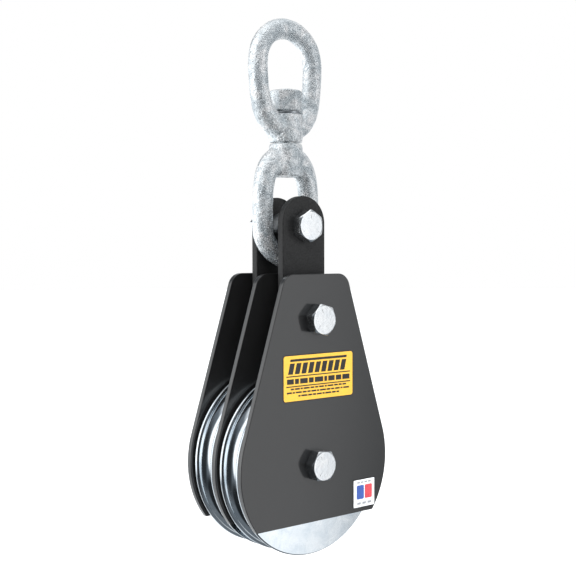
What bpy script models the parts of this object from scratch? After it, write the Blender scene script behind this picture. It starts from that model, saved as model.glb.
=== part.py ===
"""Double sheave block: two 6 in rope sheaves side by side between three flat
cheek plates, carried by two straps that hang from a forged swivel.

Frame: metres, +Z up, X across the plates, Y along the axle (front is -Y).
The origin is the hang point, the inner top of the swivel's eye.
All sizes below are millimetres and are scaled once, by MM.
Heights written as "above the axle" are turned into frame heights by zf().
"""
import math

import bmesh
import bpy
from mathutils import Matrix, Vector

for _o in list(bpy.data.objects):
    bpy.data.objects.remove(_o, do_unlink=True)

MM = 0.001

# ------------------------------------------------------------ driving sizes
HANG_ABOVE_AXLE = 354.0      # hang point to axle
GAP = 0.3                    # clearance between touching pieces

PLATE_T = 4.76               # cheek plate, 3/16 in
PITCH = 35.1                 # cheek plate to cheek plate
BLOCK_Y = -3.0               # the link hangs nearer the rear strap by this much
CHEEK_R = 78.2               # round part of the cheek, about the axle
CHEEK_TOP = 157.0            # cheek's top edge above the axle
CHEEK_TOP_HALF = 33.0        # half width of the top edge, before its corners
CHEEK_CORNER_R = 12.5
CHEEK_BOTTOM = -47.0         # flat bottom edge

STRAP_T = 7.0
STRAP_W = 45.2
STRAP_TOP = 221.4
STRAP_Y = PITCH / 2          # straps stand in the middle of each bay

BOLT_R = 7.94                # 5/8 in bolts
BOLT_HOLE_R = 8.3
HEX_AF = 23.81               # 15/16 in across flats
HEAD_H = 9.8
NUT_H = 13.9
WASHER_R = 16.6
WASHER_T = 2.4
MID_BOLT = 119.7             # above the axle
TOP_BOLT = 196.5             # above the axle

SHEAVE_R = 76.2              # 6 in over the flanges
RIM_W = 25.4
GROOVE_R = 8.8               # for 5/8 in rope
GROOVE_BOTTOM_R = 66.8
LIP_W = 3.5                  # flat land at the top of each flange
HUB_R = 21.5
HUB_W = 26.1
BUSH_R = 12.4
BUSH_BORE_R = 8.24
THRUST_R = 17.5
THRUST_T = 1.5

SPACER_R = 11.1
SLEEVE_R = 11.1

BAR_R = 8.66                 # link bar
LINK_HALF = 24.85            # link leg centres from the middle
LINK_TOP = 265.6             # flat top of the link's boss
LINK_BOSS_UNDER = 238.6
EYE_BOTTOM = 267.3           # flat bottom of the eye's boss
EYE_SEAT = 290.4             # nut side of the eye's boss
PIN_R = 7.94
PIN_HOLE_R = 8.3
SWIVEL_NUT_AF = 25.4
SWIVEL_NUT_H = 17.6

STEPS = 32                   # sides of the round pieces
COLL_NAME = "double_sheave_block"


def zf(z):
    """Height above the axle to frame height, both in mm."""
    return z - HANG_ABOVE_AXLE


# ------------------------------------------------------------- collections
parts = bpy.data.collections.new(COLL_NAME)
cutters = bpy.data.collections.new("cutters")
bpy.context.scene.collection.children.link(parts)
bpy.context.scene.collection.children.link(cutters)


def empty(name, x, y, z, parent=None):
    e = bpy.data.objects.new(name, None)
    e.empty_display_size = 0.02
    e.location = Vector((x, y, z)) * MM
    parts.objects.link(e)
    if parent is not None:
        e.parent = parent
        e.location = Vector((x, y, z)) * MM - at(parent)
    e["at"] = Vector((x, y, z)) * MM
    return e


def at(e):
    return Vector(e["at"])


def material(name, colour, rough, metal):
    m = bpy.data.materials.new(name)
    m.use_nodes = True
    b = m.node_tree.nodes["Principled BSDF"]
    b.inputs["Base Color"].default_value = (*colour, 1.0)
    b.inputs["Roughness"].default_value = rough
    b.inputs["Metallic"].default_value = metal
    m.diffuse_color = (*colour, 1.0)
    return m


FINISH = {
    "black_paint": ((0.045, 0.045, 0.047), 0.33, 0.0),
    "black_texture": ((0.033, 0.033, 0.034), 0.5, 0.0),
    "zinc": ((0.72, 0.74, 0.76), 0.28, 1.0),
    "polished": ((0.80, 0.82, 0.84), 0.2, 1.0),
    "galvanised": ((0.62, 0.65, 0.67), 0.42, 1.0),
    "bronze": ((0.55, 0.36, 0.16), 0.35, 1.0),
    "yellow_label": ((0.86, 0.62, 0.06), 0.4, 0.0),
    "white_label": ((0.85, 0.85, 0.84), 0.4, 0.0),
}


def dress(ob, finish):
    colour, rough, metal = FINISH[finish]
    ob.data.materials.clear()
    ob.data.materials.append(material("mat_" + ob.name, colour, rough, metal))


def place(ob, name, finish, parent, x, y, z, rx=0.0, rz=0.0):
    """Name an object, hang it under its body's empty and turn it."""
    ob.name = name
    ob.data.name = name
    rot = Matrix.Rotation(rx, 4, "X") @ Matrix.Rotation(rz, 4, "Z")
    ob.parent = parent
    ob.location = Vector((x, y, z)) * MM - at(parent)
    ob.rotation_euler = rot.to_euler()
    dress(ob, finish)
    ob.data.shade_smooth()
    ob.data.set_sharp_from_angle(angle=math.radians(35))
    return ob


ALONG_Y = math.pi / 2        # turns a piece built along +Z to face -Y


# ------------------------------------------------------------ shape helpers
def arc(cx, cy, r, a0, a1, n):
    """Points on an arc, degrees, both ends in."""
    return [(cx + r * math.cos(math.radians(a0 + (a1 - a0) * i / n)),
             cy + r * math.sin(math.radians(a0 + (a1 - a0) * i / n)))
            for i in range(n + 1)]


def flat_outline(loops, thickness):
    """A flat plate: 2D curve, outer loop first, then its holes."""
    cu = bpy.data.curves.new("outline", "CURVE")
    cu.dimensions = "2D"
    cu.fill_mode = "BOTH"
    cu.extrude = thickness / 2 * MM
    for pts in loops:
        sp = cu.splines.new("POLY")
        sp.points.add(len(pts) - 1)
        for p, (x, y) in zip(sp.points, pts):
            p.co = (x * MM, y * MM, 0.0, 1.0)
        sp.use_cyclic_u = True
    ob = bpy.data.objects.new("outline", cu)
    parts.objects.link(ob)
    bpy.context.view_layer.update()
    me = bpy.data.meshes.new_from_object(
        ob.evaluated_get(bpy.context.evaluated_depsgraph_get()))
    bm = bmesh.new()
    bm.from_mesh(me)
    bmesh.ops.remove_doubles(bm, verts=bm.verts, dist=1e-6)
    bmesh.ops.recalc_face_normals(bm, faces=bm.faces)
    bm.to_mesh(me)
    bm.free()
    out = bpy.data.objects.new("plate", me)
    parts.objects.link(out)
    bpy.data.objects.remove(ob, do_unlink=True)
    return out


def turned(profile, steps=STEPS, closed=True, coll=None):
    """A turned shape: profile of (radius, height) and a Screw modifier.
    Open profiles start and end on the axis. The outer side runs downward."""
    me = bpy.data.meshes.new("turned")
    verts = [(r * MM, 0.0, z * MM) for r, z in profile]
    edges = [(i, i + 1) for i in range(len(verts) - 1)]
    if closed:
        edges.append((len(verts) - 1, 0))
    me.from_pydata(verts, edges, [])
    ob = bpy.data.objects.new("turned", me)
    (coll or parts).objects.link(ob)
    sc = ob.modifiers.new("turn", "SCREW")
    sc.axis = "Z"
    sc.angle = 2 * math.pi
    sc.steps = steps
    sc.render_steps = steps
    sc.use_merge_vertices = True
    sc.merge_threshold = 1e-6
    return ob


def ring(r_out, r_in, z0, z1, ch=0.0):
    """A washer or sleeve from z0 up to z1."""
    if ch:
        prof = [(r_in, z1), (r_out - ch, z1), (r_out, z1 - ch), (r_out, z0 + ch),
                (r_out - ch, z0), (r_in, z0)]
    else:
        prof = [(r_in, z1), (r_out, z1), (r_out, z0), (r_in, z0)]
    return turned(prof)


def hide_cutter(ob):
    ob.hide_render = True
    ob.display_type = "WIRE"
    return ob


def cut(ob, cutter, op, own=False):
    """own: the piece's own surface may cross itself, as a tight loft does."""
    m = ob.modifiers.new(op.lower(), "BOOLEAN")
    m.operation = op
    m.solver = "EXACT"
    m.use_self = own
    m.object = cutter
    hide_cutter(cutter)


def cylinder(r, z0, z1, segs=STEPS, coll=None):
    me = bpy.data.meshes.new("cylinder")
    bm = bmesh.new()
    bmesh.ops.create_cone(bm, cap_ends=True, segments=segs, radius1=r * MM,
                          radius2=r * MM, depth=(z1 - z0) * MM,
                          matrix=Matrix.Translation((0, 0, (z0 + z1) / 2 * MM)))
    bm.to_mesh(me)
    bm.free()
    ob = bpy.data.objects.new("cylinder", me)
    (coll or parts).objects.link(ob)
    return ob


def hex_prism(af, z0, z1):
    return cylinder(af / 2 / math.cos(math.pi / 6), z0, z1, 6)


def chamfer_body(af, z0, z1, top=True, bottom=False):
    """Round body that takes the corners off a hexagon, 30 degrees."""
    rc = af / 2 / math.cos(math.pi / 6) + 0.4
    rf = af / 2 - 0.35
    drop = (rc - rf) * math.tan(math.radians(28))
    prof = [(0, z1 + (0 if top else 0.5))]
    if top:
        prof += [(rf, z1), (rc, z1 - drop)]
    else:
        prof += [(rc, z1 + 0.5)]
    if bottom:
        prof += [(rc, z0 + drop), (rf, z0)]
    else:
        prof += [(rc, z0 - 0.5)]
    prof += [(0, z0 - (0 if bottom else 0.5))]
    return turned(prof, steps=24, closed=False, coll=cutters)


def seat_cutter(cutter, ob):
    """Cutters follow the piece they shape."""
    cutter.parent = ob
    cutter.location = (0, 0, 0)


def bolt(name, finish, parent, y_head, z, length, turn):
    """Hex bolt whose head bears at y_head and faces -Y. Local z=0 is the
    bearing face, the head stands to +z (front) and the shank runs to -z."""
    head = hex_prism(HEX_AF, 0.0, HEAD_H + 1)
    ch = chamfer_body(HEX_AF, 0.0, HEAD_H)
    shank = turned([(0, 1.0), (BOLT_R, 1.0), (BOLT_R, -length + 1.2),
                    (BOLT_R - 1.2, -length), (0, -length)],
                   steps=24, closed=False, coll=cutters)
    cut(head, ch, "INTERSECT")
    cut(head, shank, "UNION")
    place(head, name, finish, parent, 0.0, y_head, zf(z), rx=ALONG_Y, rz=turn)
    ch.rotation_euler.z = math.radians(4)
    for c in (ch, shank):
        seat_cutter(c, head)
    return head


def nut(name, finish, parent, y0, z, af, h, bore, turn, rx=ALONG_Y, x=0.0):
    """Hex nut from local z = 0 to z = -h, bored right through."""
    body = hex_prism(af, -h - 1, 1)
    ch = chamfer_body(af, -h, 0.0, top=True, bottom=True)
    hole = cylinder(bore, -h - 2, 2, 24, coll=cutters)
    cut(body, ch, "INTERSECT")
    cut(body, hole, "DIFFERENCE")
    place(body, name, finish, parent, x, y0, z, rx=rx, rz=turn)
    ch.rotation_euler.z = math.radians(4)
    for c in (ch, hole):
        seat_cutter(c, body)
    return body


def smooth_path(ctrl, per):
    """Catmull-Rom through the control rows, the end rows mirrored in X."""
    def mirror(r):
        return (-r[0],) + tuple(r[1:])
    rows = [mirror(ctrl[1])] + list(ctrl) + [mirror(ctrl[-2])]
    out = []
    for i in range(1, len(rows) - 2):
        p0, p1, p2, p3 = rows[i - 1:i + 3]
        for k in range(per):
            t = k / per
            out.append(tuple(
                0.5 * (2 * b + (c - a) * t + (2 * a - 5 * b + 4 * c - d) * t * t
                       + (3 * b - a - 3 * c + d) * t ** 3)
                for a, b, c, d in zip(p0, p1, p2, p3)))
    out.append(tuple(ctrl[-1]))
    return out


def loft_ring(half, sides=12):
    """Closed forged ring, a loft between unlike sections.
    half: rows (x, z, in-plane half size, Y half size) on the +X side, from
    one point on the middle line to the other."""
    left = [(-r[0],) + tuple(r[1:]) for r in reversed(half[1:-1])]
    rows = list(half) + left
    n = len(rows)
    bm = bmesh.new()
    loops = []
    for i, (x, z, a, b) in enumerate(rows):
        nx, nz = rows[(i + 1) % n][:2]
        px, pz = rows[i - 1][:2]
        t = Vector((nx - px, 0, nz - pz)).normalized()
        out = Vector((t.z, 0, -t.x))
        loop = []
        for k in range(sides):
            ang = 2 * math.pi * k / sides
            c, s = math.cos(ang), math.sin(ang)
            p = Vector((x, 0, z)) + out * (a * c) + Vector((0, 1, 0)) * (b * s)
            loop.append(bm.verts.new(p * MM))
        loops.append(loop)
    for i in range(n):
        la, lb = loops[i], loops[(i + 1) % n]
        for k in range(sides):
            k2 = (k + 1) % sides
            bm.faces.new((la[k], la[k2], lb[k2], lb[k]))
    bmesh.ops.recalc_face_normals(bm, faces=bm.faces)
    me = bpy.data.meshes.new("ring")
    bm.to_mesh(me)
    bm.free()
    ob = bpy.data.objects.new("ring", me)
    parts.objects.link(ob)
    return ob


# ------------------------------------------------------------------ bodies
eye_at = empty("eye_body", 0, 0, zf(EYE_BOTTOM))
link_at = empty("link_body", 0, 0, zf(EYE_BOTTOM), parent=eye_at)
frame_at = empty("frame_body", 0, 0, zf(TOP_BOLT), parent=link_at)
front_wheel_at = empty("front_sheave_body", 0, -STRAP_Y, zf(0), parent=frame_at)
rear_wheel_at = empty("rear_sheave_body", 0, STRAP_Y, zf(0), parent=frame_at)
frame_at.location.y += BLOCK_Y * MM        # carries the whole block, wheels included

# ------------------------------------------------------------ cheek plates


def tangent_side():
    """Where the slanted side leaves the round part, and its slope."""
    # the side passes through the virtual top corner and touches the circle
    d = math.hypot(CHEEK_TOP_HALF, CHEEK_TOP)
    base = math.atan2(CHEEK_TOP, CHEEK_TOP_HALF)
    return base - math.acos(CHEEK_R / d)


def cheek_outline():
    a = tangent_side()                       # angle of the touching point
    touch = math.degrees(a)
    low = math.degrees(math.asin(CHEEK_BOTTOM / CHEEK_R))
    pts = arc(0, 0, CHEEK_R, low, touch, 14)
    # rounded top corner between the slanted side and the top edge
    n_side = (math.cos(a), math.sin(a))
    r = CHEEK_CORNER_R
    cz = CHEEK_TOP - r
    cx = (CHEEK_R - r - n_side[1] * cz) / n_side[0]
    pts += arc(cx, cz, r, touch, 90, 4)
    left = [(-x, z) for x, z in reversed(pts)]
    return pts + left


def hole(z, r=BOLT_HOLE_R, n=24):
    return [(r * math.cos(2 * math.pi * i / n), z + r * math.sin(2 * math.pi * i / n))
            for i in range(n)]


for name, y in (("front_cheek_plate", -PITCH), ("middle_cheek_plate", 0.0),
                ("rear_cheek_plate", PITCH)):
    plate = flat_outline([cheek_outline(), hole(0), hole(MID_BOLT)], PLATE_T)
    place(plate, name, "black_paint", frame_at, 0, y, zf(0), rx=ALONG_Y)

# ------------------------------------------------------------------ straps


def strap_outline():
    r = STRAP_W / 2
    top = STRAP_TOP - r
    return (arc(0, top, r, 0, 180, 16)
            + arc(0, MID_BOLT, r, 180, 360, 16))


for name, y in (("front_strap", -STRAP_Y), ("rear_strap", STRAP_Y)):
    plate = flat_outline([strap_outline(), hole(MID_BOLT), hole(TOP_BOLT)], STRAP_T)
    place(plate, name, "black_texture", frame_at, 0, y, zf(0), rx=ALONG_Y)

# ----------------------------------------------------------------- sheaves


def sheave_profile():
    """Closed half section (radius, along the axle), outer side downward."""
    h, w = HUB_W / 2, RIM_W / 2
    mouth = w - LIP_W                        # half width of the groove's mouth
    # groove floor: nearly a half circle of GROOVE_R
    gc = GROOVE_BOTTOM_R + GROOVE_R
    floor = []
    for i in range(9):
        a = math.radians(82 - 164 * i / 8)
        floor.append((gc - GROOVE_R * math.cos(a), GROOVE_R * math.sin(a)))
    prof = [(BUSH_R + 0.3, h), (HUB_R, h), (HUB_R + 1.5, w - 2.6), (42.0, w - 2.6),
            (45.0, w), (SHEAVE_R - 0.6, w), (SHEAVE_R, w - 0.5),
            (SHEAVE_R - 0.3, mouth)]
    prof += floor
    prof += [(SHEAVE_R - 0.3, -mouth), (SHEAVE_R, -w + 0.5), (SHEAVE_R - 0.6, -w),
             (45.0, -w), (42.0, -w + 2.6), (HUB_R + 1.5, -w + 2.6), (HUB_R, -h),
             (BUSH_R + 0.3, -h)]
    return prof


def bush_profile():
    h = HUB_W / 2
    return [(BUSH_BORE_R, h), (BUSH_R, h), (BUSH_R, -h), (BUSH_BORE_R, -h)]


for name, y, body in (("front", -STRAP_Y, front_wheel_at), ("rear", STRAP_Y, rear_wheel_at)):
    wheel = turned(sheave_profile(), steps=44)
    place(wheel, name + "_sheave", "polished", body, 0, y, zf(0), rx=ALONG_Y)
    bush = turned(bush_profile(), steps=24)
    place(bush, name + "_sheave_bushing", "bronze", body, 0, y, zf(0), rx=ALONG_Y)
    # thrust washers between the hub and the cheek plates
    for side, s in (("front", -1), ("rear", 1)):
        w = ring(THRUST_R, BOLT_HOLE_R, -THRUST_T / 2, THRUST_T / 2)
        yy = y + s * (PITCH / 2 - PLATE_T / 2 - GAP - THRUST_T / 2)
        place(w, "%s_bay_%s_thrust_washer" % (name, side), "bronze", frame_at,
              0, yy, zf(0), rx=ALONG_Y)

# ---------------------------------------------- bolts, nuts, washers, spacers
BACK = PITCH + PLATE_T / 2                    # outer face of the rear cheek
FRONT = -BACK                                 # outer face of the front cheek
STRAP_FRONT = -(STRAP_Y + STRAP_T / 2)
STRAP_BACK = -STRAP_FRONT


def stack(key, z, y_front, y_back, turn, nut_turn):
    """Bolt from the front, washer and nut behind."""
    reach = (y_back - y_front) + 2 * GAP + WASHER_T + GAP + NUT_H + 3.6
    bolt(key + "_bolt", "zinc", frame_at, y_front - GAP, z, reach, turn)
    w = ring(WASHER_R, BOLT_HOLE_R, -WASHER_T / 2, WASHER_T / 2)
    place(w, key + "_washer", "zinc", frame_at, 0, y_back + GAP + WASHER_T / 2,
          zf(z), rx=ALONG_Y)
    nut(key + "_nut", "zinc", frame_at, y_back + GAP + WASHER_T + GAP, zf(z),
        HEX_AF, NUT_H, BOLT_HOLE_R, nut_turn)


stack("axle", 0.0, FRONT, BACK, math.radians(25), math.radians(8))
stack("middle", MID_BOLT, FRONT, BACK, math.radians(15), math.radians(21))
stack("top", TOP_BOLT, STRAP_FRONT, STRAP_BACK, 0.0, math.radians(13))

# spacer sleeves on the middle bolt hold each strap in the middle of its bay
SPACER_L = PITCH / 2 - PLATE_T / 2 - STRAP_T / 2 - 2 * GAP
for name, y in (("front", -STRAP_Y), ("rear", STRAP_Y)):
    for side, s in (("front", -1), ("rear", 1)):
        sp = ring(SPACER_R, BOLT_HOLE_R, -SPACER_L / 2, SPACER_L / 2)
        place(sp, "%s_bay_%s_spacer" % (name, side), "zinc", frame_at, 0,
              y + s * (STRAP_T / 2 + GAP + SPACER_L / 2), zf(MID_BOLT), rx=ALONG_Y)

# sleeve on the top bolt keeps the straps apart; the link's bow hangs round it
SLEEVE_L = 2 * (STRAP_Y - STRAP_T / 2 - GAP)
sl = ring(SLEEVE_R, BOLT_HOLE_R, -SLEEVE_L / 2, SLEEVE_L / 2)
place(sl, "top_bolt_sleeve", "zinc", frame_at, 0, 0, zf(TOP_BOLT), rx=ALONG_Y)

# ------------------------------------------------------------------ swivel
# eye, from the crown down its +X side to the middle of the boss
crown_z, crown_r = 333.2, 29.25
EYE = [(crown_r * math.sin(math.radians(a)), crown_z + crown_r * math.cos(math.radians(a)),
        8.5 - 0.4 * a / 90, 8.6 - 0.2 * a / 90) for a in (0, 22.5, 45, 67.5, 90)]
EYE += [(28.7, 318.0, 8.1, 8.4), (26.7, 303.5, 8.4, 8.7), (22.4, 291.5, 9.2, 9.6),
        (13.5, 282.6, 10.6, 11.6), (0.0, 278.85, 11.5, 12.4)]
ring_ob = loft_ring([(x, zf(z), a, b) for x, z, a, b in smooth_path(EYE, 2)])
boss = turned([(0, zf(EYE_SEAT)), (14.4, zf(EYE_SEAT)), (14.6, zf(286.0)), (14.6, zf(272.0)),
               (12.5, zf(EYE_BOTTOM)), (0, zf(EYE_BOTTOM))], steps=24, closed=False,
              coll=cutters)
# the nut's seat and the flat underside are faced off with a slab each
seat = turned([(0, zf(EYE_SEAT + 14)), (15.4, zf(EYE_SEAT + 14)), (15.4, zf(EYE_SEAT)),
               (0, zf(EYE_SEAT))], steps=24, closed=False, coll=cutters)
bore = cylinder(PIN_HOLE_R, zf(255), zf(300), 24, coll=cutters)
cut(ring_ob, boss, "UNION", own=True)
cut(ring_ob, seat, "DIFFERENCE", own=True)
cut(ring_ob, bore, "DIFFERENCE", own=True)
place(ring_ob, "swivel_eye", "galvanised", eye_at, 0, 0, 0)

# link, from the bottom of its bow up its +X side to the middle of the boss
LINK = [(LINK_HALF * math.sin(math.radians(a)), TOP_BOLT - 0.3 - LINK_HALF * math.cos(math.radians(a)),
         9.6 - 0.94 * min(a, 45) / 45, 8.8) for a in (0, 22.5, 45, 67.5, 90)]
LINK += [(24.7, 214.0, 8.66, 8.8), (23.9, 229.0, 8.7, 8.9), (20.4, 241.6, 9.4, 9.6),
         (12.0, 249.6, 11.8, 11.6), (0.0, 252.1, 13.5, 12.4)]
ring_ob = loft_ring([(x, zf(z), a, b) for x, z, a, b in smooth_path(LINK, 2)])
boss = turned([(0, zf(LINK_TOP)), (12.5, zf(LINK_TOP)), (14.2, zf(LINK_TOP - 3)),
               (14.2, zf(LINK_BOSS_UNDER)), (0, zf(LINK_BOSS_UNDER))], steps=24,
              closed=False, coll=cutters)
bore = cylinder(PIN_HOLE_R, zf(230), zf(275), 24, coll=cutters)
cut(ring_ob, boss, "UNION", own=True)
cut(ring_ob, bore, "DIFFERENCE", own=True)
place(ring_ob, "swivel_link", "galvanised", link_at, 0, 0, 0)

PIN_TOP = EYE_SEAT + 2 * GAP + 2.0 + GAP + SWIVEL_NUT_H + 0.8
pin = turned([(0, zf(PIN_TOP)), (PIN_R - 1.0, zf(PIN_TOP)), (PIN_R, zf(PIN_TOP - 1.0)),
              (PIN_R, zf(LINK_BOSS_UNDER + 0.4)), (0, zf(LINK_BOSS_UNDER + 0.4))],
             steps=24, closed=False)
place(pin, "swivel_pin", "galvanised", link_at, 0, 0, 0)
w = ring(13.2, PIN_HOLE_R, zf(EYE_SEAT + GAP), zf(EYE_SEAT + GAP + 2.0))
place(w, "swivel_washer", "galvanised", link_at, 0, 0, 0)
nut("swivel_nut", "galvanised", link_at, 0, zf(EYE_SEAT + 2 * GAP + 2.0 + SWIVEL_NUT_H),
    SWIVEL_NUT_AF, SWIVEL_NUT_H, PIN_HOLE_R, math.radians(-39 + 8.6), rx=0.0)

# ------------------------------------------------------------------ labels


def rounded_rect(cx, cz, w, h, r):
    pts = []
    for sx, sz, a in ((1, 1, 0), (-1, 1, 90), (-1, -1, 180), (1, -1, 270)):
        pts += arc(cx + sx * (w / 2 - r), cz + sz * (h / 2 - r), r, a, a + 90, 4)
    return pts


LABEL_T = 0.5
for name, cx, cz, w, h, r, finish in (
        ("plain_yellow_label", 1.7, 73.0, 76.0, 38.4, 3.0, "yellow_label"),
        ("plain_white_label", 52.4, -31.2, 25.6, 25.0, 1.5, "white_label")):
    plate = flat_outline([rounded_rect(cx, cz, w, h, r)], LABEL_T)
    place(plate, name, finish, frame_at, 0, FRONT - GAP - LABEL_T / 2, zf(0), rx=ALONG_Y)
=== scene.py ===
"""Looks of the double sheave block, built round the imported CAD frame."""

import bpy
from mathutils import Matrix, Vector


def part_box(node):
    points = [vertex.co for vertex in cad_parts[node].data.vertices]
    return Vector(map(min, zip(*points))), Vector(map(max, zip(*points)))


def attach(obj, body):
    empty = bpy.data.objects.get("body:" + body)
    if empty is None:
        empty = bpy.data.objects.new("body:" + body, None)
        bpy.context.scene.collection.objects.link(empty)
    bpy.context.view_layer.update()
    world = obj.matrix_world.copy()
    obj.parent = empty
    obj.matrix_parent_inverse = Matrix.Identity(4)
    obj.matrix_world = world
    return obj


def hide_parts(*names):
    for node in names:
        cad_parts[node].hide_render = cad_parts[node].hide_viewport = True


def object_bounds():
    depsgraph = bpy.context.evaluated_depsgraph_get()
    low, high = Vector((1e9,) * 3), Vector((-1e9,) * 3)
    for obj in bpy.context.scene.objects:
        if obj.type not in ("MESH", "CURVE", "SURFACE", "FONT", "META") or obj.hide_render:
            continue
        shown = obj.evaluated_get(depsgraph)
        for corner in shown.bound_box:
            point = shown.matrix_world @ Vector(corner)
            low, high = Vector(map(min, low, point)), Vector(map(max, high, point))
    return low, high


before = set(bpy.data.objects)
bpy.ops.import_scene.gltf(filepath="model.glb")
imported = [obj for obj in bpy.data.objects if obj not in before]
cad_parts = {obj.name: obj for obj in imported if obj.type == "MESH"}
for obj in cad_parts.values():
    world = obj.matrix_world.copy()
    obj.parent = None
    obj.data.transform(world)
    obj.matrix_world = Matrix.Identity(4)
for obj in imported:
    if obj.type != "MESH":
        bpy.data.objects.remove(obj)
CAD_BOX = [[float(c) for c in v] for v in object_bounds()]

import math

import bmesh
import bpy
from mathutils import Matrix, Vector, noise

MM = 0.001
scene = bpy.context.scene
scene.view_settings.view_transform = "Standard"
scene.view_settings.look = "None"

# ------------------------------------------------------------------ places
# every place comes from the frame; sizes that a box can't give are repeated
mid_lo, mid_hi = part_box("middle_cheek_plate")
rear_lo, rear_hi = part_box("rear_cheek_plate")
front_lo, front_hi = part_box("front_cheek_plate")
strap_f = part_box("front_strap")
strap_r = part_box("rear_strap")
wheel_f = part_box("front_sheave")
wheel_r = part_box("rear_sheave")
AXLE_Z = (wheel_f[0].z + wheel_f[1].z) / 2 / MM
PLATE_T = (mid_hi.y - mid_lo.y) / MM
YC = (mid_lo.y + mid_hi.y) / 2 / MM              # middle of the block along Y
FRONT = front_lo.y / MM                          # front face of the front plate
BACK = rear_hi.y / MM
CHEEK_TOP = mid_hi.z / MM - AXLE_Z
CHEEK_BOTTOM = mid_lo.z / MM - AXLE_Z
CHEEK_R = mid_hi.x / MM
STRAP_W = (strap_f[1].x - strap_f[0].x) / MM
STRAP_T = (strap_f[1].y - strap_f[0].y) / MM
STRAP_TOP = strap_f[1].z / MM - AXLE_Z
GAP = 0.3
CHEEK_TOP_HALF = 33.0
CHEEK_CORNER_R = 12.5
BOLT_R = 7.94
HOLE_R = 8.3
HEX_AF = 23.81
HEAD_H = 9.8
NUT_H = 13.9
MID_BOLT = 119.7
TOP_BOLT = 196.5


def zf(z):
    return z + AXLE_Z


# ---------------------------------------------------------------- helpers
def arc(cx, cy, r, a0, a1, n):
    return [(cx + r * math.cos(math.radians(a0 + (a1 - a0) * i / n)),
             cy + r * math.sin(math.radians(a0 + (a1 - a0) * i / n)))
            for i in range(n + 1)]


def circle(z, r=HOLE_R, n=64, x=0.0):
    return [(x + r * math.cos(2 * math.pi * i / n), z + r * math.sin(2 * math.pi * i / n))
            for i in range(n)]


def link_object(name, me):
    ob = bpy.data.objects.new(name, me)
    scene.collection.objects.link(ob)
    return ob


def finish_mesh(name, bm, mat, sharp=32.0):
    bmesh.ops.remove_doubles(bm, verts=bm.verts, dist=1e-7)
    bmesh.ops.recalc_face_normals(bm, faces=bm.faces)
    me = bpy.data.meshes.new(name)
    bm.to_mesh(me)
    bm.free()
    me.shade_smooth()
    me.set_sharp_from_angle(angle=math.radians(sharp))
    for f in me.polygons:
        # faces square to the bolts or to the pin are flat, the rest is round
        if abs(f.normal.y) > 0.99999 or abs(f.normal.z) > 0.99999:
            f.use_smooth = False
    me.materials.append(mat)
    return link_object(name, me)


def evaluated_mesh(ob):
    dg = bpy.context.evaluated_depsgraph_get()
    return bpy.data.meshes.new_from_object(ob.evaluated_get(dg))


def plate(name, loops, y, t, mat, edge=0.5, segs=3):
    """Flat plate in the XZ plane with rounded edges, loops in mm above the axle."""
    cu = bpy.data.curves.new(name, "CURVE")
    cu.dimensions = "2D"
    cu.fill_mode = "BOTH"
    cu.extrude = (t / 2 - edge) * MM
    cu.bevel_depth = edge * MM
    cu.bevel_resolution = segs
    cu.offset = -edge * MM
    for pts in loops:
        sp = cu.splines.new("POLY")
        sp.points.add(len(pts) - 1)
        for p, (px, pz) in zip(sp.points, pts):
            p.co = (px * MM, pz * MM, 0.0, 1.0)
        sp.use_cyclic_u = True
    tmp = bpy.data.objects.new(name + "_curve", cu)
    scene.collection.objects.link(tmp)
    bpy.context.view_layer.update()
    me = evaluated_mesh(tmp)
    bpy.data.objects.remove(tmp, do_unlink=True)
    me.transform(Matrix.Translation((0, y * MM, zf(0) * MM)) @ Matrix.Rotation(math.pi / 2, 4, "X"))
    bm = bmesh.new()
    bm.from_mesh(me)
    bpy.data.meshes.remove(me)
    bmesh.ops.remove_doubles(bm, verts=bm.verts, dist=2e-6)
    return finish_mesh(name, bm, mat, 40)


def lathe(name, profile, steps, centre, axis, mat, sharp=30.0):
    """Closed profile of (radius, along the axis) turned about an axis."""
    bm = bmesh.new()
    rings = []
    for i in range(steps):
        a = 2 * math.pi * i / steps
        row = []
        for r, h in profile:
            p = (r * math.cos(a), h, r * math.sin(a)) if axis == "Y" else (r * math.cos(a), r * math.sin(a), h)
            row.append(bm.verts.new((Vector(p) + Vector(centre)) * MM))
        rings.append(row)
    n = len(profile)
    for i in range(steps):
        a, b = rings[i], rings[(i + 1) % steps]
        for k in range(n):
            k2 = (k + 1) % n
            bm.faces.new((a[k], a[k2], b[k2], b[k]))
    bmesh.ops.dissolve_degenerate(bm, edges=bm.edges, dist=1e-8)
    return finish_mesh(name, bm, mat, sharp)


def soften(corners, r=0.3, n=4):
    """Rounds each corner of a closed profile by up to r."""
    out = []
    m = len(corners)
    for i, c in enumerate(corners):
        c = Vector(c)
        a, b = Vector(corners[i - 1]), Vector(corners[(i + 1) % m])
        da, db = (a - c), (b - c)
        if da.length < 1e-6 or db.length < 1e-6 or c.x < 1e-6:
            out.append(tuple(c))
            continue
        cosang = max(-1, min(1, da.normalized().dot(db.normalized())))
        if cosang < -0.985:
            out.append(tuple(c))
            continue
        d = min(r, da.length * 0.45, db.length * 0.45)
        p, q = c + da.normalized() * d, c + db.normalized() * d
        for k in range(n + 1):
            t = k / n
            out.append(tuple((1 - t) ** 2 * p + 2 * t * (1 - t) * c + t * t * q))
    return out


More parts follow.
